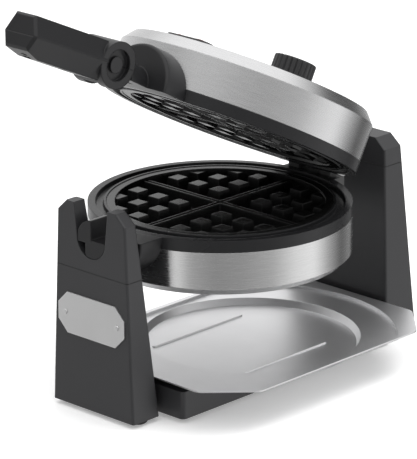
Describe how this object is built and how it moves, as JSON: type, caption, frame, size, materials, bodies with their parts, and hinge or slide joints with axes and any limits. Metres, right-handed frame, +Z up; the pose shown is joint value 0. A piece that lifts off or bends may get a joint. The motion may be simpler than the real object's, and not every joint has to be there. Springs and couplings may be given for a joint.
{
  "type": "belgian waffle maker",
  "caption": "Rotary waffle maker: a round hinged iron with a folding handle turns in a stand between towers, over a drip tray that slides out.",
  "frame": {"origin": "on the table, under the middle of the whole object's box with the lid open as stored", "axes": "+X along the turning axis from the handle end to the hinge end, +Y to the side away from the tray's long overhang, +Z up"},
  "size_m": [0.421, 0.2396, 0.3561],
  "materials": {
    "dark_plastic": "dark grey moulded plastic, fine satin texture",
    "rim_plastic": "dark heat-resistant plastic, satin",
    "brushed_sheet": "stainless sheet brushed round the iron",
    "coated_plate": "cast, black non-stick coat with a soft sheen",
    "tray_sheet": "satin pressed sheet",
    "badge_sheet": "satin sheet, left bare",
    "foot_rubber": "soft black rubber",
    "lamp_lens": "clear moulded lens, colour assumed",
    "bush_plastic": "plain natural plastic",
    "cast_metal": "cast, painted dark",
    "plain_steel": "plain steel",
    "shield_sheet": "thin bright sheet"
  },
  "bodies": {
    "stand": {"base_frame": "dark_plastic", "base_cover": "dark_plastic", "base_screws": "plain_steel", "front_tower": "dark_plastic", "front_cradle": "dark_plastic", "rear_tower": "dark_plastic", "rear_cap": "dark_plastic", "shaft_bush": "bush_plastic", "tower_screws": "plain_steel", "feet": "foot_rubber", "name_plate": "badge_sheet", "plate_rivets": "badge_sheet", "cord_gland": "foot_rubber"},
    "tray": {"drip_tray": "tray_sheet"},
    "rotor": {"lower_rim": "rim_plastic", "lower_band": "brushed_sheet", "lower_cover": "brushed_sheet", "lower_plate": "coated_plate", "lower_heater": "plain_steel", "lower_shield": "shield_sheet", "lower_plate_screws": "plain_steel", "lower_cover_screws": "plain_steel", "front_trunnion": "dark_plastic", "side_screws": "plain_steel", "rear_bracket": "cast_metal", "hinge_pin": "plain_steel", "shaft_ring": "plain_steel"},
    "lid": {"upper_rim": "rim_plastic", "upper_band": "brushed_sheet", "upper_cover": "brushed_sheet", "upper_plate": "coated_plate", "upper_heater": "plain_steel", "upper_shield": "shield_sheet", "upper_plate_screws": "plain_steel", "upper_cover_screws": "plain_steel", "thermostat": "bush_plastic", "lamp_panel": "dark_plastic", "lamp_lenses": "lamp_lens", "handle_bracket": "dark_plastic", "hinge_leaf": "plain_steel", "pivot_pin": "plain_steel"},
    "handle": {"handle_upper": "dark_plastic", "handle_lower": "dark_plastic", "grip_screws": "plain_steel"},
    "knob": {"knob": "dark_plastic", "knob_shaft": "plain_steel"}
  },
  "joints": [
    {"name": "tray_slide", "type": "slide", "parent": "stand", "child": "tray", "axis": [0, -1, 0], "range_m": [0, 0.12]},
    {"name": "rotor_spin", "type": "hinge", "parent": "stand", "child": "rotor", "pos_m": [0.0207, 0.00775, 0.153], "axis": [1, 0, 0], "range_deg": [-90, 90]},
    {"name": "lid_hinge", "type": "hinge", "parent": "rotor", "child": "lid", "pos_m": [0.1372, 0.00775, 0.1585], "axis": [0, -1, 0], "range_deg": [0, 29]},
    {"name": "handle_fold", "type": "hinge", "parent": "lid", "child": "handle", "pos_m": [-0.11554, 0.00775, 0.30031], "axis": [0, -1, 0], "range_deg": [0, 84]},
    {"name": "knob_turn", "type": "hinge", "parent": "lid", "child": "knob", "pos_m": [0.10643, 0.00775, 0.24016], "axis": [0.4848, 0, 0.8746], "range_deg": [0, 270]}
  ]
}
